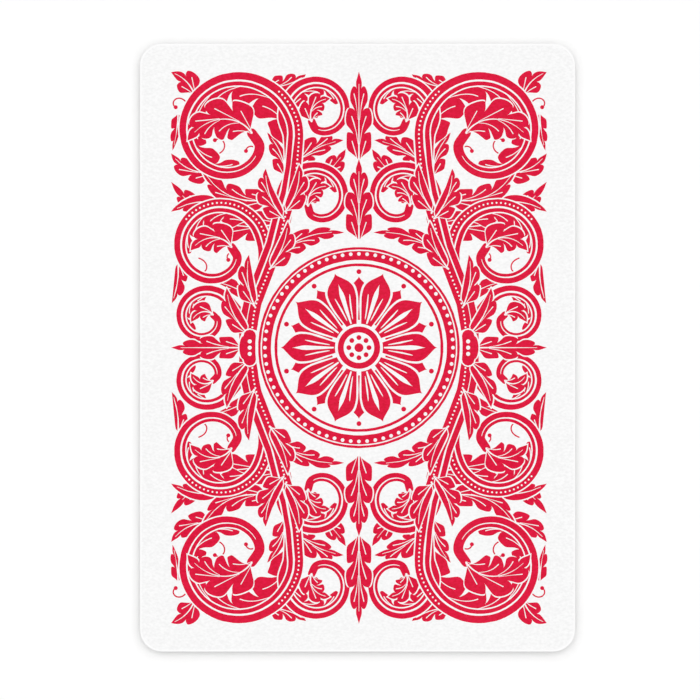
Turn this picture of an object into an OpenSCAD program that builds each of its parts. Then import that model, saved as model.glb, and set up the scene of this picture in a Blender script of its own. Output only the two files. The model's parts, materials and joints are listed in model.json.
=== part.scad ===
// Poker-size deck of playing cards, squared up and lying face down on a table.
// Each card is a plate of its own, stacked in the order of a new deck.
// The origin is the middle of the deck's underside. +Y runs along the cards and +Z up the stack.

/* [Card] */
// Width of a card, from side to side
card_w = 63; // [44:0.5:90]
// Length of a card, from end to end
card_l = 88; // [60:0.5:130]
// Thickness of the coated card stock
stock_t = 0.28; // [0.2:0.01:0.6]
// Radius of the die-cut corners
corner_r = 3.2; // [1:0.1:10]

/* [Deck] */
// Air that the embossed finish keeps between two cards
air_gap = 0.02; // [0.01:0.01:0.2]
// How far the lowest card lies off its squared-up place, which the top card keeps to
stray = 0.1; // [0:0.01:0.4]

/* [Look] */
// Colour of the card stock
stock_colour = "#f8f8f8"; // ["#f8f8f8", "#f4efe2", "#ffffff"]

/* [Hidden] */
$fn = 64;

// From one card's underside to the next one's
pitch = stock_t + air_gap;

// Each card strays in a new direction, turned by the golden angle from the last one.
// The hand that squares the deck up rests on the top card, so cards stray less towards the top.
stray_turn = 180 * (3 - sqrt(5));

RANKS = [
    "ace", "two", "three", "four", "five", "six", "seven",
    "eight", "nine", "ten", "jack", "queen", "king"
];
RISING = [0 : len(RANKS) - 1];
FALLING = [len(RANKS) - 1 : -1 : 0];

// A new deck's order from the underside up: spades and diamonds rise, clubs and hearts fall
NODES = [
    "black_joker",
    "red_joker",
    for (rank = RISING) str(RANKS[rank], "_of_spades"),
    for (rank = RISING) str(RANKS[rank], "_of_diamonds"),
    for (rank = FALLING) str(RANKS[rank], "_of_clubs"),
    for (rank = FALLING) str(RANKS[rank], "_of_hearts")
];

// Outline of every card: a rectangle with four true round corners
module card_outline() {
    straight_w = card_w - 2 * corner_r;
    straight_l = card_l - 2 * corner_r;
    square([card_w, straight_l], center = true);
    square([straight_w, card_l], center = true);
    for (x = [-1, 1], y = [-1, 1])
        translate([x * straight_w / 2, y * straight_l / 2])
            circle(r = corner_r);
}

// One card at its level in the deck, counted from the underside
module card(level) {
    direction = level * stray_turn;
    off = stray * (1 - level / (len(NODES) - 1));
    translate([off * cos(direction), off * sin(direction), level * pitch])
        color(stock_colour)
            linear_extrude(height = stock_t)
                card_outline();
}

for (level = [0 : len(NODES) - 1])
    card(level);
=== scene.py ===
# %% [markdown]
# # A deck of playing cards
# The deck lies face down, squared up, as in the photograph: all that shows from above is the back of
# the top card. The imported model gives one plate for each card, at its real size. This lesson keeps
# those plates, gives them the finish of coated card stock, and prints both sides of every card with
# flat meshes of ink.

# %% Load the frame
import json
import math

import bmesh
import bpy
import numpy as np
from mathutils import Matrix, Vector
from mathutils.geometry import delaunay_2d_cdt


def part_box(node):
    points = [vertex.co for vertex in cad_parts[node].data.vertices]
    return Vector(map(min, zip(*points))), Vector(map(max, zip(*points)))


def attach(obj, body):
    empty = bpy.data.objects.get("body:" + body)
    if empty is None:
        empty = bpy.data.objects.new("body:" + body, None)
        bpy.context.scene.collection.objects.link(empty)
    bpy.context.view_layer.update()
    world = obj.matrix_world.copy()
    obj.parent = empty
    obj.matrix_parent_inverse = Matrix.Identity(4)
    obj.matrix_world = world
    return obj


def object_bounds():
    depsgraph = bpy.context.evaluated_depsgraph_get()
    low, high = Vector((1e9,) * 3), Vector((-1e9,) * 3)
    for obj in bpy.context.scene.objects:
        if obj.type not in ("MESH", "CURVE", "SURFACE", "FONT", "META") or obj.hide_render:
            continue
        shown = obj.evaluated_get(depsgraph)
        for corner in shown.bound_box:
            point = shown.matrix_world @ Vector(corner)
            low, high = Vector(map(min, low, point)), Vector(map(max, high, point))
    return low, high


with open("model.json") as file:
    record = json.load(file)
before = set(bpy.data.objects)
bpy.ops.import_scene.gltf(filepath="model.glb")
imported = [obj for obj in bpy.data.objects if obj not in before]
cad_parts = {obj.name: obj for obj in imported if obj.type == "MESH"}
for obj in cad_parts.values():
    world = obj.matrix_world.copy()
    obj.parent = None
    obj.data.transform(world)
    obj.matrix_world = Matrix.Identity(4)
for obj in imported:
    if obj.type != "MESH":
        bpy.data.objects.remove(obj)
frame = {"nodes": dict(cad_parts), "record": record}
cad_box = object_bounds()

MM = 0.001
scene = bpy.context.scene
scene.view_settings.view_transform = "Standard"
cards = [entry["node"] for entry in frame["record"]["subparts"]]
cad_mm = [round((high - low) / MM, 2) for low, high in zip(*cad_box)]
print(len(cards), "cards in a box of", cad_mm, "mm")

# %% [markdown]
# ## Sizes
# A few real sizes drive everything that is drawn, and they are in millimetres. The card's own size is
# read from the frame, so the print always fits the plates. The panel is the printed field of the back,
# inside its bare margin. The punch doesn't quite hit the middle of the print, so the panel lies a
# little to the right.

# %% Driving sizes
bottom_low, bottom_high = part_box(cards[0])
top_low, top_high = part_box(cards[-1])
card_w = (bottom_high[0] - bottom_low[0]) / MM
card_l = (bottom_high[1] - bottom_low[1]) / MM
stock_t = (bottom_high[2] - bottom_low[2]) / MM
pitch = (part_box(cards[1])[0][2] - bottom_low[2]) / MM
side_margin = 4.2
end_margin = 3.9
print_shift = 0.2
panel_w = card_w - 2 * side_margin
panel_l = card_l - 2 * end_margin
print(f"card {card_w:.2f} x {card_l:.2f} x {stock_t:.2f} mm, one every {pitch:.2f} mm")
print(f"back panel {panel_w:.2f} x {panel_l:.2f} mm")

# %% [markdown]
# ## Camera
# The photograph looks straight down with almost no perspective, so the camera stands far off with a
# long lens. Its height follows from the card's width in the picture, and it stands a little to the side
# because the card isn't quite in the middle of the picture.

# %% Camera
picture_px = 700
card_px = 435.1
card_middle_px = (357.55, 347.65)
lens_mm = 1600.0
sensor_mm = 36.0
px_per_mm = card_px / card_w
view_w = picture_px / px_per_mm * MM
camera_data = bpy.data.cameras.new("camera")
camera_data.lens = lens_mm
camera_data.sensor_width = sensor_mm
camera = bpy.data.objects.new("camera", camera_data)
scene.collection.objects.link(camera)
top_middle = [(low + high) / 2 for low, high in zip(top_low, top_high)]
camera.location = (
    top_middle[0] - (card_middle_px[0] - picture_px / 2) / px_per_mm * MM,
    top_middle[1] + (card_middle_px[1] - picture_px / 2) / px_per_mm * MM,
    top_high[2] + view_w * lens_mm / sensor_mm,
)
scene.camera = camera
print(f"camera {camera.location.z:.3f} m up, seeing {view_w / MM:.1f} mm")

# %% [markdown]
# ## Nodes in code
# Materials and the world are node trees. Four small helpers keep their code short: one fills a socket
# from another node or with a plain value, one adds a node with its sockets filled by name, one does
# sums, and the last tells what the camera sees.

# %% Node helpers
def feed(tree, socket, value):
    """Links a socket to another node's output, or sets it to a plain value. A colour has no alpha here."""
    if isinstance(value, bpy.types.NodeSocket):
        tree.links.new(value, socket)
    elif socket.type == "RGBA":
        socket.default_value = (*value, 1.0)
    else:
        socket.default_value = value


def add_node(tree, kind, **values):
    """Adds a node and fills its sockets and properties by name, an underscore standing for a space."""
    node = tree.nodes.new(kind)
    for name, value in values.items():
        socket = node.inputs.get(name.replace("_", " "))
        if socket is None:
            setattr(node, name, value)
        else:
            feed(tree, socket, value)
    return node


def maths(tree, operation, *terms):
    """Adds a Math node whose terms are numbers or sockets, and returns its output."""
    node = add_node(tree, "ShaderNodeMath", operation=operation)
    for socket, term in zip(node.inputs, terms):
        feed(tree, socket, term)
    return node.outputs["Value"]


def seen_directly(tree):
    """1 for rays from the camera, also by way of gloss or glass, and 0 for other light."""
    path = tree.nodes.new("ShaderNodeLightPath").outputs
    in_gloss = maths(tree, "MAXIMUM", path["Is Camera Ray"], path["Is Glossy Ray"])
    return maths(tree, "MAXIMUM", in_gloss, path["Is Transmission Ray"])


print("node helpers ready")

# %% [markdown]
# ## Floor and light
# The picture has a plain white ground with a thin soft shadow close round the card: dark at the edge,
# with a long faint tail. Two lamps high overhead do that. The narrow one makes the dark part and the
# broad one the tail, which fades out within three millimetres. Both lean a little towards the far end,
# so the near side is the darkest. A pale world gives the rest of the light. Together they add up to 1,
# so a colour renders about as it is written.

# %% Lamps and world
key_share = 0.72
key_lean_deg = 0.9
lamps = {"narrow_lamp": (0.45, 6.0), "broad_lamp": (0.55, 16.0)}
for name, (share, width_deg) in lamps.items():
    lamp = bpy.data.lights.new(name, "SUN")
    lamp.energy = math.pi * key_share * share
    lamp.angle = math.radians(width_deg)
    lamp_object = bpy.data.objects.new(name, lamp)
    lamp_object.rotation_euler = (math.radians(-key_lean_deg), 0, 0)
    scene.collection.objects.link(lamp_object)

world = bpy.data.worlds.new("studio")
world.use_nodes = True
scene.world = world
sky = world.node_tree
sky.nodes.clear()
fill = add_node(sky, "ShaderNodeMapRange", Value=seen_directly(sky), To_Min=1 - key_share, To_Max=1.0)
background = add_node(sky, "ShaderNodeBackground", Color=(1, 1, 1), Strength=fill.outputs["Result"])
add_node(sky, "ShaderNodeOutputWorld", Surface=background.outputs["Background"])
print(f"{len(lamps)} lamps, and {1 - key_share:.2f} of the light from the world")

# %% [markdown]
# The floor is a white diffuse surface with a little added for the camera, which lifts it to full white.
# Light that bounces off it finds it duller: a floor that is white all round would light the deck's
# sides from below and wash the shadow out.

# %% Floor
floor_size = 6.0
floor_gap = 0.02 * MM
floor_white = 0.99
floor_lift = 0.012
floor_bounce = 0.68
floor_build = bmesh.new()
floor_place = Matrix.Translation((0, 0, -floor_gap))
bmesh.ops.create_grid(floor_build, x_segments=1, y_segments=1, size=floor_size / 2, matrix=floor_place)
floor_mesh = bpy.data.meshes.new("floor")
floor_build.to_mesh(floor_mesh)
floor_build.free()
floor = bpy.data.objects.new("floor", floor_mesh)
scene.collection.objects.link(floor)

floor_paint = bpy.data.materials.new("floor_white")
floor_paint.use_nodes = True
tree = floor_paint.node_tree
tree.nodes.clear()
seen = seen_directly(tree)
shade = add_node(tree, "ShaderNodeMapRange", Value=seen, To_Min=floor_bounce, To_Max=floor_white)
white = add_node(tree, "ShaderNodeBsdfDiffuse", Color=shade.outputs["Result"])
glow = add_node(tree, "ShaderNodeEmission", Strength=maths(tree, "MULTIPLY", seen, floor_lift))
both = tree.nodes.new("ShaderNodeAddShader")
feed(tree, both.inputs[0], white.outputs["BSDF"])
feed(tree, both.inputs[1], glow.outputs["Emission"])
add_node(tree, "ShaderNodeOutputMaterial", Surface=both.outputs["Shader"])
floor_mesh.materials.append(floor_paint)
print("floor", floor_size, "m across")

# %% [markdown]
# ## Card stock
# A playing card is two plies of white paper, glued with a dark paste, coated and pressed. The pressing
# leaves a fine grain, a little longer across the card than along it, and the coating is slightly
# uneven. Paper and ink share both effects, so they are two node groups. They read the object's own
# coordinates, in metres, so the finish goes along when a card moves.

# %% Shared effects
def new_group(name, output):
    """A shader node group with one grey output, its object coordinates and its output node."""
    group = bpy.data.node_groups.new(name, "ShaderNodeTree")
    group.interface.new_socket(output, in_out="OUTPUT", socket_type="NodeSocketFloat")
    place = group.nodes.new("ShaderNodeTexCoord")
    return group, place.outputs["Object"], group.nodes.new("NodeGroupOutput")


def noise(tree, place, size_mm, detail):
    """Adds noise whose blots are about size_mm across and returns its grey output."""
    scale = blot_share / (size_mm * MM)
    return add_node(tree, "ShaderNodeTexNoise", Vector=place, Scale=scale, Detail=detail).outputs["Fac"]


# how much of one period of the noise a blot takes up
blot_share = 0.7
grain_mm = 0.215
grain_stretch = 1.5
grain_detail = 1.0
coating_mm = 9.0
coating_detail = 3.0
grain_group, spot, grain_out = new_group("pressed_grain", "Grain")
across = add_node(grain_group, "ShaderNodeMapping", Vector=spot, Scale=(1 / grain_stretch, 1, 1))
grain = noise(grain_group, across.outputs["Vector"], grain_mm, grain_detail)
feed(grain_group, grain_out.inputs["Grain"], grain)

coating_group, spot, coating_out = new_group("coating_sheen", "Sheen")
sheen = noise(coating_group, spot, coating_mm, coating_detail)
feed(coating_group, coating_out.inputs["Sheen"], sheen)
print("node groups:", grain_group.name, coating_group.name)

# %% [markdown]
# One function finishes a Principled shader with these two effects: the grain tints the colour a little
# and drives a bump, and the sheen varies the roughness. Paper and inks differ only in their colours and
# amounts.

# %% Finish of a coated surface
noise_low, noise_high = 0.3, 0.7


def spread(tree, value, low, high):
    """Maps a noise value, which stays near the middle, to the range from low to high."""
    node = add_node(tree, "ShaderNodeMapRange", Value=value, From_Min=noise_low, From_Max=noise_high,
                    To_Min=low, To_Max=high)
    return node.outputs["Result"]


def mixed(tree, share, first, second):
    """Mixes two colours, each a plain value or a socket."""
    node = add_node(tree, "ShaderNodeMix", data_type="RGBA", Factor=share)
    # the Mix node has several sockets of one name, so its colour sockets are told by identifier
    sockets = {socket.identifier: socket for socket in [*node.inputs, *node.outputs]}
    feed(tree, sockets["A_Color"], first)
    feed(tree, sockets["B_Color"], second)
    return sockets["Result_Color"]


def coated(name, dark, pale, bump_mm, specular=0.1, roughness=(0.62, 0.74)):
    """A material whose colour runs from dark to pale with the grain, under an uneven coating."""
    material = bpy.data.materials.new(name)
    material.use_nodes = True
    tree = material.node_tree
    shader = tree.nodes["Principled BSDF"]
    shader.inputs["Specular IOR Level"].default_value = specular
    grain = add_node(tree, "ShaderNodeGroup", node_tree=grain_group).outputs["Grain"]
    sheen = add_node(tree, "ShaderNodeGroup", node_tree=coating_group).outputs["Sheen"]
    bump = add_node(tree, "ShaderNodeBump", Distance=bump_mm * MM, Height=grain)
    feed(tree, shader.inputs["Base Color"], mixed(tree, spread(tree, grain, 0, 1), dark, pale))
    feed(tree, shader.inputs["Roughness"], spread(tree, sheen, *roughness))
    feed(tree, shader.inputs["Normal"], bump.outputs["Normal"])
    return material


paper_dull = (0.898, 0.898, 0.898)
paper_bright = (0.973, 0.973, 0.973)
paper_bump = 0.012
paper_specular = 0.12
paper = coated("coated_paper", paper_dull, paper_bright, paper_bump, paper_specular)
print("made", paper.name)

# %% [markdown]
# The cut edges are not coated. They show the plies as two pale lines with the paste between them, and no
# two cards catch the light alike, so that the deck's side is finely striped. Round the flat sides, a thin
# rim is painted near white: a painted highlight along the card's edge. The edges are told by their level
# normals and the plies by the height within one card. The rim is where the Bevel node, which looks at
# the surface near a point, finds a normal that turns away.

# %% Cut edges and painted rim highlight
paste_t = 0.05
level_limit = 0.5
# the rim is a painted highlight: a near-white colour along the card's edge, this many millimetres wide
rim_mm = 0.5
rim_samples = 8
rim_start = 0.9995
rim_full = 0.99
painted_highlight_white = (0.99, 0.99, 0.99)
ply_pale = (0.985, 0.98, 0.965)
ply_dull = (0.70, 0.692, 0.675)
paste_grey = (0.58, 0.57, 0.56)


def height_of(tree, vector):
    """The Z of a vector socket."""
    return add_node(tree, "ShaderNodeSeparateXYZ", Vector=vector).outputs["Z"]


tree = paper.node_tree
base = tree.nodes["Principled BSDF"].inputs["Base Color"]
facing = tree.nodes.new("ShaderNodeNewGeometry").outputs["Normal"]
on_edge = maths(tree, "LESS_THAN", maths(tree, "ABSOLUTE", height_of(tree, facing)), level_limit)
height = height_of(tree, tree.nodes.new("ShaderNodeTexCoord").outputs["Object"])
count = maths(tree, "FLOOR", maths(tree, "DIVIDE", height, pitch * MM))
tone = add_node(tree, "ShaderNodeTexWhiteNoise", noise_dimensions="1D", W=count).outputs["Value"]
level = maths(tree, "WRAP", height, pitch * MM, 0.0)
on_paste = maths(tree, "COMPARE", level, stock_t / 2 * MM, paste_t / 2 * MM)
plies = mixed(tree, on_paste, mixed(tree, tone, ply_dull, ply_pale), paste_grey)

# painted highlight: where the Bevel normal turns away from the flat side, the colour goes near white
rounded = add_node(tree, "ShaderNodeBevel", samples=rim_samples, Radius=rim_mm * MM)
along = add_node(tree, "ShaderNodeVectorMath", operation="DOT_PRODUCT")
feed(tree, along.inputs[0], rounded.outputs["Normal"])
feed(tree, along.inputs[1], facing)
rim = add_node(tree, "ShaderNodeMapRange", Value=along.outputs["Value"],
               From_Min=rim_start, From_Max=rim_full)
flat_side = mixed(tree, rim.outputs["Result"], base.links[0].from_socket, painted_highlight_white)
feed(tree, base, mixed(tree, on_edge, flat_side, plies))
for name in cards:
    node = frame["nodes"][name]
    node.data.materials.clear()
    node.data.materials.append(paper)
print("paper on", len(cards), "cards, with a rim", rim_mm, "mm wide")

# %% [markdown]
# ## Inks
# Printing ink lies under the coating, so it has the same grain. The back is printed in one cool red.
# The faces use a second red, black and a yellow for the crowns.

# %% Inks
ink_bump = 0.008
ink_tones = {
    "back_red": ((0.65, 0.003, 0.033), (0.77, 0.006, 0.053)),
    "pip_red": ((0.62, 0.010, 0.014), (0.70, 0.016, 0.022)),
    "black": ((0.010, 0.010, 0.011), (0.018, 0.018, 0.020)),
    "gold": ((0.76, 0.42, 0.040), (0.84, 0.49, 0.060)),
}
inks = {name: coated(name, dark, pale, ink_bump) for name, (dark, pale) in ink_tones.items()}
ink_names = list(inks)
print("inks:", ", ".join(ink_names))

# %% [markdown]
# ## Lines to draw with
# The back is drawn as a printer's ornament is: stems that wind into scrolls, with lobed leaves along
# them. All of it is worked out in millimetres from the middle of the card. A point is held as one
# complex number, x plus y times 1j, because then a turn is a product, a mirror image is the conjugate,
# and numpy takes whole curves at once. A list of such points along a curve is called a run.

# %% Curves
spacing = 0.2
span_points = 24
arch_points = 41
end_steps = 6
least_points = 7
least_ring = 10
least_steps = 3


def evenly(points):
    """The same run of points, spaced evenly."""
    walked = np.concatenate(([0.0], np.cumsum(np.abs(np.diff(points)))))
    count = max(least_points, round(walked[-1] / spacing) + 1)
    return np.interp(np.linspace(0, walked[-1], count), walked, points)


def through(*knots):
    """A smooth run through some knots, as a Catmull-Rom curve."""
    knots = np.concatenate([np.atleast_1d(k) for k in knots]).astype(complex)
    knots = np.concatenate(([2 * knots[0] - knots[1]], knots, [2 * knots[-1] - knots[-2]]))
    t = np.linspace(0, 1, span_points, endpoint=False)
    spans = []
    for a, b, c, d in zip(knots, knots[1:], knots[2:], knots[3:]):
        square = 2 * a - 5 * b + 4 * c - d
        cube = 3 * b - a - 3 * c + d
        spans.append(0.5 * (2 * b + (c - a) * t + square * t ** 2 + cube * t ** 3))
    return evenly(np.concatenate(spans + [knots[-2:-1]]))


def spiral(centre, radii, angles, ease, every=30):
    """Knots that wind round a centre, from the first radius and angle to the second, in degrees."""
    s = np.linspace(0, 1, round(abs(angles[1] - angles[0]) / every) + 1)
    radius = radii[1] + (radii[0] - radii[1]) * (1 - s) ** ease
    return centre + radius * np.exp(1j * np.radians(angles[0] + (angles[1] - angles[0]) * s))


def arch(root, pull, tip):
    """A run from root to tip that is drawn towards a third point."""
    t = np.linspace(0, 1, arch_points)
    return evenly((1 - t) ** 2 * root + 2 * t * (1 - t) * pull + t ** 2 * tip)


def bow(root, tip, share):
    """A run from root to tip that bows to its left by a share of its length."""
    return arch(root, (root + tip) / 2 + 2j * share * (tip - root), tip)


def bend(start, heading, length, turn0=0, turn1=0):
    """A run that turns by turn0 degrees over its first half and by turn1 over its second."""
    count = max(least_points - 1, round(length / spacing))
    s = (np.arange(count) + 0.5) / count
    heading = heading + 2 * turn0 * (s - s * s / 2) + turn1 * s * s
    return start + np.concatenate(([0], np.cumsum(length / count * np.exp(1j * np.radians(heading)))))


def cubic(a, b, c, d, count):
    """A Bezier curve without its first point."""
    t = np.arange(1, count + 1) / count
    return (1 - t) ** 3 * a + 3 * (1 - t) ** 2 * t * b + 3 * (1 - t) * t ** 2 * c + t ** 3 * d


print("a run of", len(bow(0j, 10 + 0j, 0.1)), "points for a ten millimetre bow")

# %% [markdown]
# From a run come its neighbours: a parallel run beside it, a new run that carries on from it, and the
# outline of a stroke along it.

# %% Strokes
def leftward(points):
    """The unit step to the left of a run at each of its points."""
    step = np.gradient(points)
    return 1j * step / np.abs(step)


def beside(points, shares, offset):
    """The part of a run between two shares of its length, moved to the left by offset."""
    last = len(points) - 1
    first, end = (round(share * last) for share in shares)
    return (points + leftward(points) * offset)[first:max(end, first + least_steps) + 1]


def off_end(points, length, turn0, turn1):
    """A bend that carries on from the end of a run."""
    heading = np.degrees(np.angle(-1j * leftward(points)[-1]))
    return bend(points[-1], heading, length, turn0, turn1)


def ring(centre, radius):
    """A circle with as many points as its size needs."""
    count = max(least_ring, round(math.pi * radius / spacing) * 2)
    return centre + radius * np.exp(2j * math.pi * np.arange(count) / count)


def ribbon(points, half, grow=0.0):
    """The outline of a stroke with the given half widths and round ends."""
    half = np.broadcast_to(half, points.shape) + grow
    side = leftward(points)
    turn = np.exp(-1j * math.pi * np.arange(1, end_steps) / end_steps)
    tip = points[-1] + side[-1] * half[-1] * turn
    root = points[0] - side[0] * half[0] * turn
    return np.concatenate((points + side * half, tip, (points - side * half)[::-1], root))


print("a ring of one millimetre has", len(ring(0, 1.0)), "points")

# %% [markdown]
# A leaf edge is a row of lobes. Each lobe rises from the last notch to a crest, rounds over a nose that
# leans towards the leaf's tip, and drops back into the next notch. The edge is worked out flat, as the
# share along the leaf plus 1j times the height over its midrib, and then laid along a curved midrib.

# %% Leaf edges
fullness = 1.1
roundness = 0.75
lobe_ease = 1.2
peak_at = 0.6
crest_at = 0.62
nose_past, nose_h = 0.10, 0.80
notch_before, notch_h = 0.02, 0.35


def leaf_edge(lobes, width, start=0.04, full=0.62):
    """One edge of a leaf, the shares at which its lobes begin and end, and its height as a function."""
    def height(share):
        inside = np.clip((share - start) / (1 - start), 0, 1)
        return fullness * width * np.abs(np.sin(math.pi * inside ** full)) ** roundness

    if lobes == 0:
        share = np.linspace(start, 1, 15)
        return share + 1j * height(share), np.array([]), height
    marks = start + (1 - start) * (1 - (1 - np.arange(lobes + 1) / lobes) ** lobe_ease)
    edge = [np.array([start + 0j])]
    for a, b in zip(marks[:-2], marks[1:-1]):
        step = b - a
        root = edge[-1][-1]
        crest = a + crest_at * step + 1j * height(a + peak_at * step)
        nose = b + nose_past * step + 1j * nose_h * height(b)
        notch = b - notch_before * step + 1j * notch_h * height(b)
        swell = 0.36 * step + 0.5j * (crest - root).imag
        lean = 0.13j * crest.imag
        edge.append(cubic(root, root + swell, crest - 0.34 * step, crest, 8))
        edge.append(cubic(crest, crest + 0.26 * step, nose + lean, nose, 6))
        edge.append(cubic(nose, nose - lean, notch + 0.10 * step + 0.4 * lean, notch, 5))
    root = edge[-1][-1]
    step = marks[-1] - marks[-2]
    rise = 1j * height(marks[-2] + peak_at * step)
    edge.append(cubic(root, root + 0.36 * step + 0.45 * rise, 1 - 0.45 * step + 0.75 * rise, 1 + 0j, 10))
    return np.concatenate(edge), marks, height


def laid(spine, flat):
    """Lays flat leaf points along a spine: the real part is the share along, the other the height."""
    share = np.linspace(0, 1, len(spine))
    return np.interp(flat.real, share, spine) + flat.imag * np.interp(flat.real, share, leftward(spine))


print("a leaf edge with four lobes has", len(leaf_edge(4, 2.0)[0]), "points")

# %% [markdown]
# A sheet collects outlines in painter's order, each with the ink it is filled with, or None for bare
# paper. Everything drawn over something else first clears a thin bare halo round itself, which keeps
# crossing leaves and stems apart as an engraver would.

# %% Sheets
fine = 0.03
line_half = 0.14
line_ease = 0.6
line_ends = (0.02, 0.95)
line_place = 0.25
bead_r = 0.14
bead_place = 0.42
bead_every = 3
first_bead = 3
tendril_half = 0.1
tendril_halo = 0.12
tendril_end = 0.3
midrib_half = 0.11
midrib_ends = (0, 0.86)
rib_half = 0.07
tip_grow = 1.5


class Sheet:
    """Outlines in the order in which they are laid, each with its ink."""

    def __init__(self, ink, halo=0.2):
        self.shapes = []
        self.colour = ink
        self.halo = halo

    def ink(self, outline, colour=None):
        """Fills an outline with ink."""
        self.shapes.append((outline, colour or self.colour))

    def bare(self, outline):
        """Clears an outline of ink."""
        self.shapes.append((outline, None))

    def add(self, shapes, turn=1, flip=False):
        """Adds shapes turned by a complex factor, or first mirrored left to right."""
        for outline, ink in shapes:
            self.shapes.append((turn * (-np.conj(outline) if flip else outline), ink))

    def stroke(self, points, half, halo=None):
        """A stroke of ink with a bare halo round it."""
        self.bare(ribbon(points, half, self.halo if halo is None else halo))
        self.ink(ribbon(points, half))

    def hairline(self, points, half):
        """A bare line through the ink that thins at both ends."""
        swell = np.sin(np.linspace(0, math.pi, len(points))) ** line_ease
        self.bare(ribbon(points, fine + (half - fine) * swell))

    def tendril(self, spine):
        """A thin line of ink with a small round end."""
        self.stroke(spine, tendril_half, tendril_halo)
        self.ink(ring(spine[-1], tendril_end))

    def stem(self, spine, half0, half1, hand, beads=0):
        """A tapering stem with a bare line and beads, which winds to its left if hand is 1 and not -1."""
        half = np.linspace(half0, half1, len(spine))
        self.stroke(spine, half)
        self.hairline(beside(spine, line_ends, hand * line_place * half), line_half)
        row = (spine - leftward(spine) * hand * bead_place * half)[::bead_every]
        for place in row[first_bead:first_bead + beads]:
            self.bare(ring(place, bead_r))

    def leaf(self, spine, widths, lobes):
        """A lobed, veined leaf along a spine, with the widths and lobes of its left and right side."""
        sides = [(hand, *leaf_edge(count, width)) for hand, count, width in zip((1, -1), lobes, widths)]

        def outline(grow):
            halves = [laid(spine, edge.real + 1j * hand * (edge.imag + grow)) for hand, edge, *_ in sides]
            tip = spine[-1:] - 1j * leftward(spine)[-1:] * grow * tip_grow
            return np.concatenate((halves[0], tip, halves[1][::-1]))

        self.bare(outline(self.halo))
        self.ink(outline(0.0))
        for hand, _, marks, height in sides:
            for a, b in zip(marks[:-1], marks[1:]):
                self.rib(spine, a, b, 1j * hand * height(a + peak_at * (b - a)))
        midrib = beside(spine, midrib_ends, 0)
        self.bare(ribbon(midrib, np.linspace(midrib_half, fine, len(midrib))))

    def rib(self, spine, a, b, rise, least=1.25):
        """A bare vein from the midrib into the lobe between two shares, if the lobe is high enough."""
        if abs(rise) > least:
            knots = [max(a - 0.10, 0) + 0.12 * rise / abs(rise), 0.75 * a + 0.25 * b + 0.18 * rise,
                     0.25 * a + 0.75 * b + 0.55 * rise]
            run = arch(*laid(spine, np.array(knots)))
            self.bare(ribbon(run, np.linspace(fine, rib_half, len(run))))


sample = Sheet("back_red")
sample.leaf(bow(0j, 10 + 0j, 0.1), (2.0, 2.0), (4, 4))
print("one leaf is laid with", len(sample.shapes), "outlines")

# %% [markdown]
# ## Drawing the back
# The back is the same in all four quarters, so it reads the same either way up. In each quarter a trunk
# climbs round the medallion and winds into a large scroll in the corner, and four branches wind into
# smaller scrolls beside it. The knots of the stems are listed, and a spiral ends each of them.

# %% Stems of a quarter
back_halo = 0.19
quarter = Sheet("back_red", back_halo)
trunk = through(15.6 - 1.2j, 15.9 + 2.4j, 15.3 + 6.4j, 13.7 + 10.6j, 12.2 + 14.6j, 11.2 + 18.6j,
                10.0 + 22.6j, spiral(18.0 + 30.7j, (9.2, 2.6), (198, -185), 0.58))
top_branch = through(10.3 + 21.6j, 9.7 + 25.0j, 9.8 + 28.6j,
                     spiral(5.7 + 33.9j, (5.3, 1.7), (-36, 310), 0.62))
low_branch = through(12.6 + 13.0j, 11.7 + 16.0j, spiral(6.0 + 21.5j, (5.3, 1.7), (-30, 320), 0.62))
side_branch = through(14.8 + 8.0j, 13.6 + 11.4j, spiral(20.4 + 14.3j, (6.9, 2.1), (178, -185), 0.58))
end_branch = through(15.9 + 0.6j, 16.6 + 3.8j, spiral(22.2 + 4.3j, (4.2, 1.3), (140, -200), 0.62))
print("trunk of", len(trunk), "points and four branches")

# %% [markdown]
# What lies underneath is laid first: thin tendrils in the gaps, then leaves whose roots hide under the
# stems, then the leaves that line each scroll. The stems go over them, each with a leaf at its end, and
# small leaves cover the forks.

# %% Leaves of a quarter
end_turns = (78, 35)
for root, heading, length, turn0, turn1 in (
    (21.6 + 28.0j, 200, 5.0, -50, -190),
    (23.0 + 12.9j, 200, 3.6, 30, 190),
    (24.6 + 35.0j, 62, 3.6, -30, -190),
    (17.2 + 12.2j, 95, 3.6, -40, -190),
    (15.6 + 26.6j, 150, 4.4, -40, -200),
    (6.8 + 32.2j, 40, 3.0, 40, 190),
    (7.0 + 19.9j, 40, 3.0, 40, 190),
):
    quarter.tendril(bend(root, heading, length, turn0, turn1))

for root, tip, bowed, widths, lobes in (
    (23.6 + 36.4j, 27.0 + 39.7j, 0.12, (1.6, 1.6), (2, 2)),
    (26.0 + 34.0j, 26.8 + 28.4j, -0.04, (0.9, 0.4), (3, 0)),
    (13.4 + 37.6j, 7.6 + 39.4j, 0.10, (0.8, 1.5), (0, 3)),
    (11.0 + 18.0j, 27.0 + 23.9j, -0.17, (2.4, 2.2), (5, 5)),
    (20.0 + 20.8j, 27.0 + 19.6j, 0.10, (0.9, 1.2), (0, 3)),
    (21.0 + 25.2j, 27.0 + 28.0j, -0.14, (1.3, 1.6), (3, 3)),
    (12.2 + 21.6j, 22.8 + 26.3j, -0.20, (1.7, 1.4), (4, 3)),
    (26.0 + 12.4j, 26.9 + 6.4j, -0.06, (0.5, 1.3), (0, 3)),
    (15.2 + 7.0j, 20.6 + 9.5j, 0.06, (1.2, 0.9), (3, 2)),
    (10.2 + 23.4j, 1.9 + 28.6j, 0.14, (2.0, 2.0), (4, 4)),
    (9.9 + 25.6j, 2.2 + 29.9j, -0.10, (1.4, 1.8), (3, 4)),
    (13.0 + 12.0j, 2.1 + 16.6j, -0.13, (1.6, 1.2), (5, 4)),
    (10.6 + 24.4j, 13.2 + 31.0j, 0.10, (0.6, 1.5), (0, 3)),
):
    quarter.leaf(bow(root, tip, bowed), widths, lobes)

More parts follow.
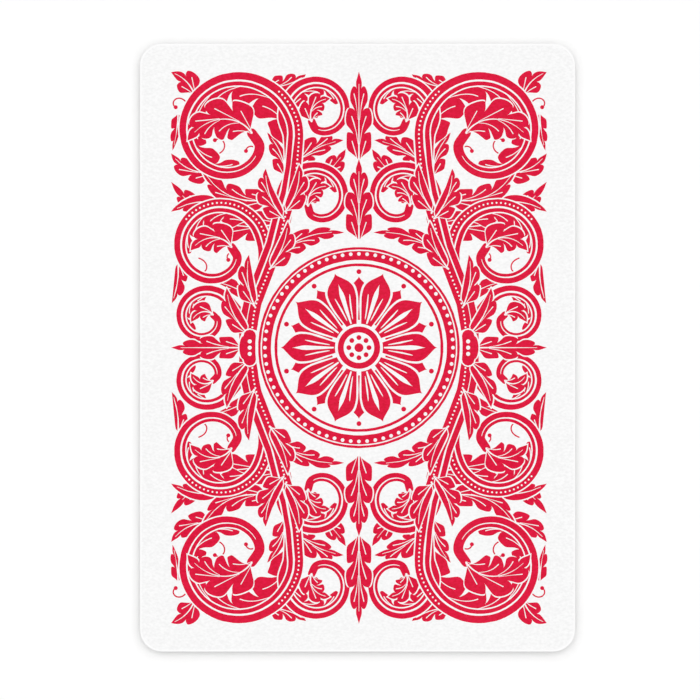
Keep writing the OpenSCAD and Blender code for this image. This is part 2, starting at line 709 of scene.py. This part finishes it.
for stem, shares, inset, depth, lobes in (
    (trunk, (0.38, 0.78), -0.5, 3.6, 6),
    (trunk, (0.72, 0.95), -0.3, 2.4, 4),
    (side_branch, (0.26, 0.74), -0.4, 2.6, 5),
    (low_branch, (0.30, 0.80), 0.35, 2.0, 4),
    (top_branch, (0.36, 0.82), 0.35, 2.0, 4),
    (end_branch, (0.36, 0.84), -0.3, 1.6, 4),
):
    inner, outer = (depth, lobes), (0.3, 0)
    left, right = (inner, outer) if inset > 0 else (outer, inner)
    quarter.leaf(beside(stem, shares, inset), (left[0], right[0]), (left[1], right[1]))

for stem, half0, half1, hand, beads, length, width, lobes in (
    (end_branch, 0.9, 0.5, -1, 0, 3.9, 1.3, 2),
    (side_branch, 1.12, 0.62, -1, 34, 7.0, 2.05, 3),
    (low_branch, 1.0, 0.56, 1, 0, 5.0, 1.6, 3),
    (top_branch, 1.0, 0.56, 1, 0, 5.0, 1.6, 3),
    (trunk, 1.35, 0.7, -1, 64, 11.0, 2.85, 4),
):
    quarter.stem(stem, half0, half1, hand, beads)
    end_leaf = off_end(stem, length, *(hand * turn for turn in end_turns))
    quarter.leaf(end_leaf, (width, width), (lobes, lobes))

for root, tip, bowed, widths, lobes in (
    (15.9 + 2.0j, 19.0 + 8.6j, -0.10, (0.9, 1.5), (0, 3)),
    (15.0 + 6.0j, 15.8 + 13.4j, -0.08, (0.8, 1.5), (0, 3)),
    (12.8 + 11.4j, 10.2 + 18.2j, 0.08, (1.6, 0.8), (3, 0)),
    (10.6 + 19.6j, 8.6 + 26.4j, 0.10, (1.6, 0.8), (3, 0)),
    (10.8 + 18.6j, 13.4 + 25.8j, -0.10, (0.8, 1.8), (0, 4)),
):
    quarter.leaf(bow(root, tip, bowed), widths, lobes)
print(len(quarter.shapes), "outlines in a quarter of the back")

# %% [markdown]
# Straight leaves stand on the two axes, over the seams between the quarters, and a beaded clasp holds
# the two trunks together where they meet.

# %% Leaves on the axes
axes = Sheet("back_red", back_halo)
for root, heading, length, width in (
    (26.4j, 90, 13.4, 1.8),
    (15.0j, 90, 12.2, 1.9),
    (16.4 + 0j, 0, 10.6, 1.6),
):
    axes.leaf(bend(root, heading, length), (width, width), (4, 4))
clasp_x = 15.7
clasp_l = 3.4
clasp_half, clasp_swell = 0.9, 0.6
clasp_bead_r, clasp_bead_step = 0.3, 0.9
clasp = bend(clasp_x - 1j * clasp_l / 2, 90, clasp_l)
axes.stroke(clasp, clasp_half + clasp_swell * np.sin(np.linspace(0, math.pi, len(clasp))) ** 0.5)
for k in (-1, 0, 1):
    axes.bare(ring(clasp_x + 1j * k * clasp_bead_step, clasp_bead_r))
print(len(axes.shapes), "outlines on half of the axes")

# %% [markdown]
# The medallion in the middle lies over everything: a beaded ring, a thin ring, and a rosette with two
# rounds of pointed petals about a ring of dots. Each round is one petal, turned about the middle in a
# loop.

# %% Medallion
medallion = Sheet("back_red")


def around(count, offset=0.0):
    """Unit steps in count directions, evenly round the middle."""
    return np.exp(2j * math.pi * (np.arange(count) + offset) / count)


def petal(inner, outer, half):
    """A pointed petal along the real axis, widest two thirds of the way out."""
    reach = outer - inner
    shoulder = inner + 0.64 * reach + 1j * half
    root = inner + 0.30j * half
    rise = cubic(outer + 0j, outer - 0.10 * reach + 0.08j * half, shoulder + 0.20 * reach, shoulder, 12)
    fall = cubic(shoulder, shoulder - 0.24 * reach, root + 0.14 * reach + 0.12j * half, root, 10)
    upper = np.concatenate(([outer + 0j], rise, fall))
    return np.concatenate((upper, np.conj(upper[::-1])))


def rings(sheet, *radii):
    """Rings from the outside in, the first bare and then ink and bare by turns."""
    for k, radius in enumerate(radii):
        sheet.shapes.append((ring(0, radius), sheet.colour if k % 2 else None))


beaded_ring = (14.9, 14.5, 14.14, 13.96)
ring_beads, ring_bead_at, ring_bead_r = 72, 13.52, 0.27
thin_ring = (12.65, 12.15, 11.75)
petals = 10
low_petal = petal(4.0, 10.3, 1.35)
petal_halo = petal(2.6, 11.55, 2.3)
top_petal = petal(2.8, 11.25, 2.0)
petal_slot = petal(3.6, 9.6, 0.34)
creases = [bend(4.2 + 0.42j * hand, hand * 9, 3.6, hand * 1, hand * 4) for hand in (1, -1)]
crease_half = 0.13
eye_ring = (3.45, 3.05, 2.2)
eye_dots, eye_dot_at, eye_r = 8, 1.45, 0.65
dot_at, dot_r = 10.95, 0.36

rings(medallion, *beaded_ring)
for way in around(ring_beads):
    medallion.bare(ring(ring_bead_at * way, ring_bead_r))
rings(medallion, *thin_ring)
for way in around(petals, 0.5):
    medallion.ink(low_petal * way)
    medallion.ink(ring(dot_at * way, dot_r))
for way in around(petals):
    medallion.bare(petal_halo * way)
    medallion.ink(top_petal * way)
    medallion.bare(petal_slot * way)
    for crease in creases:
        medallion.hairline(crease * way, crease_half)
rings(medallion, *eye_ring)
for way in around(eye_dots):
    medallion.ink(ring(eye_dot_at * way, dot_r))
medallion.ink(ring(0, eye_r))
print(len(medallion.shapes), "outlines in the medallion")

# %% [markdown]
# The quarters, the leaves on the axes and the medallion together make the back. The drawing is then
# stretched by less than one percent, which fits it to the panel.

# %% The whole back
back = Sheet("back_red")
for turn in (1, -1):
    back.add(quarter.shapes, turn)
    back.add(quarter.shapes, turn, flip=True)
for turn in (1, -1):
    back.add(axes.shapes, turn)
back.add(medallion.shapes)
drawn = np.concatenate([outline for outline, ink in back.shapes if ink])
stretch_w, stretch_l = panel_w / np.ptp(drawn.real), panel_l / np.ptp(drawn.imag)


def fitted(outline):
    """An outline of the drawing in its place on the panel."""
    return print_shift + stretch_w * outline.real + 1j * stretch_l * outline.imag


print(f"{len(back.shapes)} outlines on the back, stretched {stretch_w:.4f} by {stretch_l:.4f}")

# %% [markdown]
# ## From outlines to ink
# A constrained Delaunay triangulation takes all outlines of a sheet at once and cuts the plane along
# every one of them. Before that, each outline drops the points that a straight line can do without.
# After that, each triangle is asked which outlines go round it.

# %% Outlines for cutting
slack = 0.012


def thinned(outline):
    """Drops the points of a closed outline that lie within the slack of a line between two kept ones."""
    closed = np.append(outline, outline[0])
    far = int(np.argmax(np.abs(outline - outline[0])))
    keep = {0, far}
    spans = [(0, far), (far, len(outline))]
    while spans:
        first, last = spans.pop()
        if last - first < 2:
            continue
        chord = closed[last] - closed[first]
        rest = closed[first + 1:last] - closed[first]
        away = np.abs((rest / chord).imag * abs(chord))
        if away.max() > slack:
            middle = first + 1 + int(np.argmax(away))
            keep.add(middle)
            spans += [(first, middle), (middle, last)]
    return outline[sorted(keep)]


def holds(outline, points):
    """Tells which points an outline goes round, by the turns it makes about them."""
    order = np.argsort(points.imag)
    x, y = points.real[order], points.imag[order]
    turns = np.zeros(len(points), int)
    for a, b in zip(outline, np.roll(outline, -1)):
        level = slice(*np.searchsorted(y, sorted((a.imag, b.imag))))
        side = (b.real - a.real) * (y[level] - a.imag) - (x[level] - a.real) * (b.imag - a.imag)
        if b.imag > a.imag:
            turns[level] += side > 0
        else:
            turns[level] -= side < 0
    inside = np.empty(len(points), bool)
    inside[order] = turns != 0
    return inside


print("a ring of", len(ring(0, 5.0)), "points is thinned to", len(thinned(ring(0, 5.0))))

# %% [markdown]
# Each triangle belongs to the last outline that holds its middle, and it is kept if that outline has an
# ink. The result is one flat sheet of triangles without overlaps, and its edges stay sharp at any zoom.

# %% Cutting a sheet into triangles
hull_triangles = 0
weld_mm = 1e-5


def cut_out(shapes):
    """Corners, triangles and the ink of each triangle, for the inked part of a sheet."""
    outlines = [(thinned(outline), ink) for outline, ink in shapes]
    spots = [Vector((p.real, p.imag)) for outline, _ in outlines for p in outline]
    edges = []
    for outline, _ in outlines:
        first = len(edges)
        edges += [(first + k, first + (k + 1) % len(outline)) for k in range(len(outline))]
    spots, _, triangles, *_ = delaunay_2d_cdt(spots, edges, [], hull_triangles, weld_mm)
    corners = np.array([complex(*p) for p in spots])
    triangles = np.array(triangles)
    middles = corners[triangles].mean(axis=1)
    owner = np.full(len(triangles), -1)
    for outline, ink in outlines:
        near = (middles.real > outline.real.min()) & (middles.real < outline.real.max())
        near &= (middles.imag > outline.imag.min()) & (middles.imag < outline.imag.max())
        near = np.flatnonzero(near)
        owner[near[holds(outline, middles[near])]] = -1 if ink is None else ink_names.index(ink)
    return corners, triangles[owner >= 0], owner[owner >= 0]


back_cut = cut_out([(fitted(outline), ink) for outline, ink in back.shapes])
print("the back is cut into", len(back_cut[1]), "triangles")

# %% [markdown]
# The print of a card is one object with a material slot for each ink. It lies four thousandths of a
# millimetre off the stock, which is less than the air between two cards. The face is on the underside,
# so it is mirrored left to right, and the mirror turns its triangles outwards too. The UV map has the
# back in one half and the face in the other.

# %% Printing a side
ink_lift = 0.004
uv_w = 0.48
uv_start = {1: 0.01, -1: 0.51}


def add_print(build, cut, side, uv_layer):
    """Adds a cut sheet to a bmesh. side is 1 for the back, on top, and -1 for the face."""
    corners, triangles, owner = cut
    used = np.unique(triangles)
    made = {k: build.verts.new((side * corners[k].real * MM, corners[k].imag * MM, 0)) for k in used}
    for triangle, ink in zip(triangles, owner):
        face = build.faces.new([made[k] for k in triangle])
        face.material_index = int(ink)
        for loop in face.loops:
            across = loop.vert.co.x / (card_w * MM) + 0.5
            along = loop.vert.co.y / (card_l * MM) + 0.5
            loop[uv_layer].uv = (uv_w * across + uv_start[side], along)


print("the ink lies", ink_lift, "mm off the stock")

# %% [markdown]
# The cuts that run through the inside of the ink aren't needed any more. A limited dissolve takes them
# out, as well as points where an edge hardly turns, and what is left is cut into triangles again.

# %% The back's mesh
edge_turn_deg = 5
build = bmesh.new()
add_print(build, back_cut, 1, build.loops.layers.uv.new("OFBake"))
build.normal_update()
bmesh.ops.dissolve_limit(build, angle_limit=math.radians(edge_turn_deg), use_dissolve_boundaries=False,
                         verts=build.verts, edges=build.edges, delimit={"MATERIAL"})
bmesh.ops.triangulate(build, faces=build.faces)
inked = sum(face.calc_area() for face in build.faces) / MM ** 2
back_mesh = bpy.data.meshes.new("back_print")
build.to_mesh(back_mesh)
build.free()
inked_share = inked / (panel_w * panel_l)
print(f"back print of {len(back_mesh.polygons)} triangles, on {inked_share:.2f} of the panel")

# %% [markdown]
# ## Drawing the faces
# The faces follow the common pattern: an index in two corners, and as many suit signs as the card
# counts. Each suit sign is drawn one unit high round the origin, half of it from curves and the other
# half as its mirror image, and then scaled, turned and moved to its places.

# %% Suit signs
def mirrored(half):
    """A closed outline from its right half, which runs from the top of the axis to the bottom."""
    return np.concatenate((half, -np.conj(half[::-1])))


def foot_outline(top):
    """The foot of a spade or a club, from a height down to the bottom."""
    neck = 0.02 + 1j * top
    return mirrored(np.concatenate(([neck], cubic(neck, 0.03 - 0.34j, 0.10 - 0.46j, 0.21 - 0.5j, 8))))


heart_half = np.concatenate((
    [0.25j],
    cubic(0.25j, 0.07 + 0.56j, 0.49 + 0.60j, 0.49 + 0.20j, 14),
    cubic(0.49 + 0.20j, 0.49 - 0.06j, 0.15 - 0.22j, -0.5j, 14),
))
spade_half = np.concatenate((
    [0.5j],
    cubic(0.5j, 0.10 + 0.26j, 0.46 + 0.12j, 0.46 - 0.14j, 14),
    cubic(0.46 - 0.14j, 0.46 - 0.42j, 0.12 - 0.42j, -0.18j, 14),
))
diamond_half = np.concatenate((bow(0.5j, 0.38 + 0j, -0.04), bow(0.38 + 0j, -0.5j, -0.04)))
club_leaf = 0.24 * around(24)
suits = {
    "hearts": [mirrored(heart_half)],
    "diamonds": [mirrored(diamond_half)],
    "spades": [mirrored(spade_half), foot_outline(-0.1)],
    "clubs": [club_leaf + 0.26j, club_leaf + 0.26 - 0.11j, club_leaf - 0.26 - 0.11j, club_leaf / 2,
              foot_outline(-0.05)],
}
suit_ink = {"hearts": "pip_red", "diamonds": "pip_red", "spades": "black", "clubs": "black"}


def add_sign(sheet, suit, middle, height):
    """Lays a suit sign on a sheet, head down where it is in the lower half of the card."""
    turn = -1 if middle.imag < 0 else 1
    for outline in suits[suit]:
        sheet.ink(middle + turn * height * outline, suit_ink[suit])


print("suits:", ", ".join(suits))

# %% [markdown]
# The rank in the corner is a text object made into a mesh. Its triangles join those of the card's
# sheet, so the whole face is one mesh.

# %% Ranks
text_steps = 6
text_swell = 0.016


def glyph(body, height, width):
    """Corners and triangles of a short text, as high as given, at most as wide, centred on the origin."""
    curve = bpy.data.curves.new("rank", "FONT")
    curve.body = body
    curve.resolution_u = text_steps
    curve.offset = text_swell
    text = bpy.data.objects.new("rank", curve)
    mesh = bpy.data.meshes.new_from_object(text)
    mesh.calc_loop_triangles()
    corners = np.array([complex(v.co.x, v.co.y) for v in mesh.vertices])
    triangles = np.array([list(t.vertices) for t in mesh.loop_triangles])
    bpy.data.objects.remove(text)
    bpy.data.curves.remove(curve)
    bpy.data.meshes.remove(mesh)
    low = complex(corners.real.min(), corners.imag.min())
    size = complex(corners.real.max(), corners.imag.max()) - low
    corners = corners - low - size / 2
    scale = height / size.imag
    squeeze = min(1.0, width / (size.real * scale))
    return corners.real * scale * squeeze + 1j * corners.imag * scale, triangles


ranks = "ace two three four five six seven eight nine ten jack queen king".split()
rank_marks = dict(zip(ranks, "A 2 3 4 5 6 7 8 9 10 J Q K".split()))
index_h = 6.6
index_w = 4.7
index_x, index_y = 4.6, 6.2
index_place = complex(index_x - card_w / 2, card_l / 2 - index_y)
index_sign_h = 4.6
index_sign_drop = 6.9
index_sign = index_place - 1j * index_sign_drop
glyphs = {rank: glyph(mark, index_h, index_w) for rank, mark in rank_marks.items()}
print("ranks:", " ".join(rank_marks.values()))

# %% [markdown]
# The number cards put their signs in two columns and a middle one, head up in the upper half and head
# down in the lower. The rows are spaced evenly between the outermost two.

# %% Number cards
sign_h = 11.0
column_x = 10.2
row_y = 26.5
side_rows = {4: 2, 5: 2, 6: 3, 7: 3, 8: 3, 9: 4, 10: 4}
middle_rows = {2: (1, -1), 3: (1, 0, -1), 5: (0,), 7: (1 / 2,), 8: (1 / 2, -1 / 2), 9: (0,),
               10: (2 / 3, -2 / 3)}


def sign_places(count):
    """Where the suit signs of a number card stand."""
    rows = np.linspace(1, -1, side_rows.get(count, 0))
    sides = [x + 1j * row_y * row for x in (-column_x, column_x) for row in rows]
    return sides + [1j * row_y * row for row in middle_rows.get(count, ())]


print("signs on the number cards:", [len(sign_places(count)) for count in range(2, 11)])

# %% [markdown]
# A court card is the same both ways up, so only its upper half is drawn, and the lower half is that
# half turned round. In place of a figure it carries a heraldic device: a crown over a roundel, with a
# scroll on either side from the back's own kit. Five points make the king's crown and three the
# queen's, and the jack wears a cap with two plumes. Gold parts are laid over the same shape a little
# larger in ink, which outlines them.

# %% Crowns and caps
crown_half_w, crown_h, crown_fall, crown_fan_deg = 6.2, 9.2, 1.4, 24
crown_tips_w, crown_slots_w = 13.0, 4.0
pearl_r, pearl_lift = 1.0, 1.3
cap_r, cap_arc_points = 7.0, 31
knob_r, knob_lift = 1.2, 0.9
band_half_w, band_half_l = 8.4, 1.5
jewel_step, jewel_r = 2.4, 0.75


def rectangle(half_w, half_l):
    """The outline of a rectangle about the origin."""
    corner = half_w + 1j * half_l
    return np.array([corner, -np.conj(corner), -corner, np.conj(corner)])


def gilded(sheet, draw, line=0.4):
    """Lays what draw gives at its own size in gold over the same a line larger in ink, in a bare halo."""
    sheet.bare(draw(line + sheet.halo))
    sheet.ink(draw(line))
    sheet.ink(draw(0.0), "gold")


def crown(end, points, foot):
    """A crown of fanned points with pearls, from the outer points in to the middle one."""
    for side in sorted(np.linspace(-1, 1, points), key=abs, reverse=True):
        root = foot + crown_half_w * side
        way = np.exp(1j * math.radians(90 - crown_fan_deg * side))
        tall = crown_h - crown_fall * abs(side)
        gilded(end, lambda grow: root + way * petal(-grow, tall + 1.6 * grow, crown_tips_w / points + grow))
        end.ink(root + way * petal(1.5, tall - 2.6, crown_slots_w / points))
        gilded(end, lambda grow: ring(root + way * (tall + pearl_lift), pearl_r + grow))


def cap(end, foot):
    """A round cap with a plume on either side."""
    for hand in (1, -1):
        end.leaf(bow(foot + hand * 4.0, foot + hand * 13.0 + 11.5j, hand * 0.18), (2.0, 2.0), (5, 5))
    gilded(end, lambda grow: foot + (cap_r + grow) * np.exp(1j * np.linspace(0, math.pi, cap_arc_points)))
    for hand in (1, 0, -1):
        end.ink(ribbon(bow(foot + hand * 3.2, foot + 6.8j, -hand * 0.22), 0.22))
    gilded(end, lambda grow: ring(foot + 1j * (cap_r + knob_lift), knob_r + grow))


def band(end, middle):
    """The jewelled band under a crown or a cap."""
    gilded(end, lambda grow: middle + rectangle(band_half_w + grow, band_half_l + grow))
    for k in range(-3, 4):
        end.ink(middle + jewel_step * k + (around(4) if k % 2 else ring(0, jewel_r)))


print("crown, cap and band ready")

# %% Court cards
court_frames = ((21.5, 34.0, 0.4), (20.5, 33.0, 0.2))
crown_foot = 17.0j
band_drop = 1.4
crown_points = {"king": 5, "queen": 3}
court_sign_place, court_sign_h = -16.0 + 28.2j, 7.8
roundel_rim = (10.6, 10.3)
roundel_gold_r = 9.9
roundel_beads, roundel_bead_at, roundel_bead_r = 36, 9.1, 0.36
roundel_line_r, roundel_field_r = 8.4, 8.0
roundel_sign_y, roundel_sign_h = 3.9, 6.4


def wing(colour):
    """The scroll to the right of a roundel, with its leaves."""
    side = Sheet(colour)
    scroll = through(5.0 + 7.6j, 9.2 + 8.4j, spiral(13.6 + 14.8j, (5.6, 1.7), (-75, 270), 0.62))
    side.leaf(bow(8.8 + 2.2j, 19.4 + 7.6j, -0.12), (1.6, 1.9), (4, 4))
    side.leaf(bow(9.0 + 12.4j, 8.4 + 20.6j, 0.10), (1.5, 0.9), (4, 0))
    side.leaf(beside(scroll, (0.34, 0.82), 0.4), (2.2, 0.3), (5, 0))
    side.stem(scroll, 1.0, 0.6, 1, 14)
    side.leaf(off_end(scroll, 5.2, 80, 30), (1.7, 1.7), (3, 3))
    side.leaf(bow(9.6 + 8.6j, 19.6 + 10.2j, -0.20), (1.3, 1.5), (3, 4))
    return side.shapes


def court(sheet, rank, suit):
    """The frame of a court card, both its halves and the roundel between them."""
    for half_w, half_l, line in court_frames:
        sheet.ink(rectangle(half_w, half_l))
        sheet.bare(rectangle(half_w - line, half_l - line))
    end = Sheet(sheet.colour)
    for flip in (False, True):
        end.add(wing(sheet.colour), flip=flip)
    if rank in crown_points:
        crown(end, crown_points[rank], crown_foot)
    else:
        cap(end, crown_foot)
    band(end, crown_foot - 1j * band_drop)
    end.leaf(bow(-7.0 + 31.0j, 19.0 + 31.0j, -0.03), (1.2, 1.2), (7, 7))
    add_sign(end, suit, court_sign_place, court_sign_h)
    for turn in (1, -1):
        sheet.add(end.shapes, turn)
    rings(sheet, *roundel_rim)
    sheet.ink(ring(0, roundel_gold_r), "gold")
    for way in around(roundel_beads):
        sheet.bare(ring(roundel_bead_at * way, roundel_bead_r))
    sheet.ink(ring(0, roundel_line_r))
    sheet.bare(ring(0, roundel_field_r))
    for turn in (1, -1):
        add_sign(sheet, suit, 1j * turn * roundel_sign_y, roundel_sign_h)


print("a wing of a court card has", len(wing("black")), "outlines")

# %% [markdown]
# A joker wears no suit. It shows a cap with three horns and bells over a collar of points, with a star
# in two corners in place of the index. The aces carry one large sign, and the ace of spades has a
# rosette in it.

# %% Jokers and aces
horn_tip_half, horn_swell, horn_halo, horn_line_half = 0.6, 4.6, 0.4, 0.25
bell_r, bell_eye_r = 1.9, 0.5
collar_neck, collar_step_deg = 9.0j, 13.5
collar_halo = petal(14.6, 25.4, 2.6)
collar_point = petal(15.0, 25.0, 2.2)
stud_at, stud_r, stud_line = 26.2, 0.7, 0.3
joker_band = -5.4j
star_inner, star_outer = 1.4, 3.4
ace_h, ace_of_spades_h = 22.0, 40.0
blade_line = (0.93, 0.90)
ace_petals = 8
ace_petal = petal(2.2, 8.2, 1.5)
ace_slot = petal(3.0, 6.6, 0.3)
ace_dot_at, ace_dot_r, ace_eye_r = 9.4, 0.45, 1.3


def joker(sheet):
    """A cap with three horns, a band and a collar of points, and the stars in the corners."""
    side_horn = through(2.0 - 2.0j, 7.4 + 7.0j, 13.4 + 8.6j, 17.0 + 1.6j)
    horns = (side_horn, -np.conj(side_horn), through(-2.0j, 7.0j, 1.0 + 14.0j, 21.0j))
    for horn in horns:
        half = horn_tip_half + horn_swell * np.linspace(1, 0, len(horn)) ** 0.8
        sheet.stroke(horn, half, horn_halo)
        for hand in (1, -1):
            sheet.hairline(beside(horn, (0.12, 0.92), hand * 0.45 * half), horn_line_half)
    for horn in horns:
        gilded(sheet, lambda grow: ring(horn[-1], bell_r + grow))
        sheet.ink(ring(horn[-1], bell_eye_r))
    for k in range(-4, 5):
        way = np.exp(1j * math.radians(270 + collar_step_deg * k))
        sheet.bare(collar_neck + way * collar_halo)
        sheet.ink(collar_neck + way * collar_point)
        gilded(sheet, lambda grow: ring(collar_neck + stud_at * way, stud_r + grow), stud_line)
    band(sheet, joker_band)
    star = 1j * around(10) * np.where(np.arange(10) % 2, star_inner, star_outer)
    for turn in (1, -1):
        sheet.ink(turn * (index_place + star))


def big_ace(sheet, suit):
    """The single sign of an ace, large and with a rosette on the ace of spades."""
    height = ace_of_spades_h if suit == "spades" else ace_h
    add_sign(sheet, suit, 0j, height)
    if suit != "spades":
        return
    blade = suits[suit][0]
    sheet.bare(blade_line[0] * height * blade)
    sheet.ink(blade_line[1] * height * blade)
    for way in around(ace_petals):
        sheet.bare(way * ace_petal)
        sheet.ink(way * ace_slot)
    for way in around(ace_petals, 0.5):
        sheet.bare(ring(ace_dot_at * way, ace_dot_r))
    sheet.bare(ring(0, ace_eye_r))


print("joker and ace drawings ready")

# %% [markdown]
# Now each card gets its own print: the shared back, its face sheet cut into triangles, and the corner
# marks. The name of a card says what goes on it.

# %% Faces by name
def face_cut(name):
    """The cut sheet of a card's face, from its name."""
    rank, _, suit = name.partition("_of_")
    sheet = Sheet(suit_ink.get(suit, "pip_red" if name.startswith("red") else "black"))
    if not suit:
        joker(sheet)
        return cut_out(sheet.shapes)
    for turn in (1, -1):
        add_sign(sheet, suit, turn * index_sign, index_sign_h)
    if rank in ("jack", "queen", "king"):
        court(sheet, rank, suit)
    elif rank == "ace":
        big_ace(sheet, suit)
    else:
        for place in sign_places(int(rank_marks[rank])):
            add_sign(sheet, suit, place, sign_h)
    corners, triangles, owner = cut_out(sheet.shapes)
    marks, mark_triangles = glyphs[rank]
    for turn in (1, -1):
        triangles = np.concatenate((triangles, mark_triangles + len(corners)))
        corners = np.concatenate((corners, turn * (index_place + marks)))
        owner = np.concatenate((owner, np.full(len(mark_triangles), ink_names.index(sheet.colour))))
    return corners, triangles, owner


print("the queen of hearts has", len(face_cut("queen_of_hearts")[1]), "triangles on its face")

# %% [markdown]
# The finished print rides on its card, so that it goes along when the deck is fanned, cut or dealt.

# %% Printing every card
triangle_count = 0
for name in cards:
    low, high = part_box(name)
    middle = (low + high) / 2
    build = bmesh.new()
    build.from_mesh(back_mesh)
    bmesh.ops.translate(build, verts=build.verts, vec=(0, 0, high.z - low.z + 2 * ink_lift * MM))
    add_print(build, face_cut(name), -1, build.loops.layers.uv["OFBake"])
    bmesh.ops.translate(build, verts=build.verts, vec=(middle.x, middle.y, low.z - ink_lift * MM))
    mesh = bpy.data.meshes.new(name + "_print")
    build.to_mesh(mesh)
    build.free()
    for ink in ink_names:
        mesh.materials.append(inks[ink])
    piece = bpy.data.objects.new(name + "_print", mesh)
    scene.collection.objects.link(piece)
    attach(piece, name)
    triangle_count += len(mesh.polygons)
print("printed", len(cards), "cards with", triangle_count, "triangles")
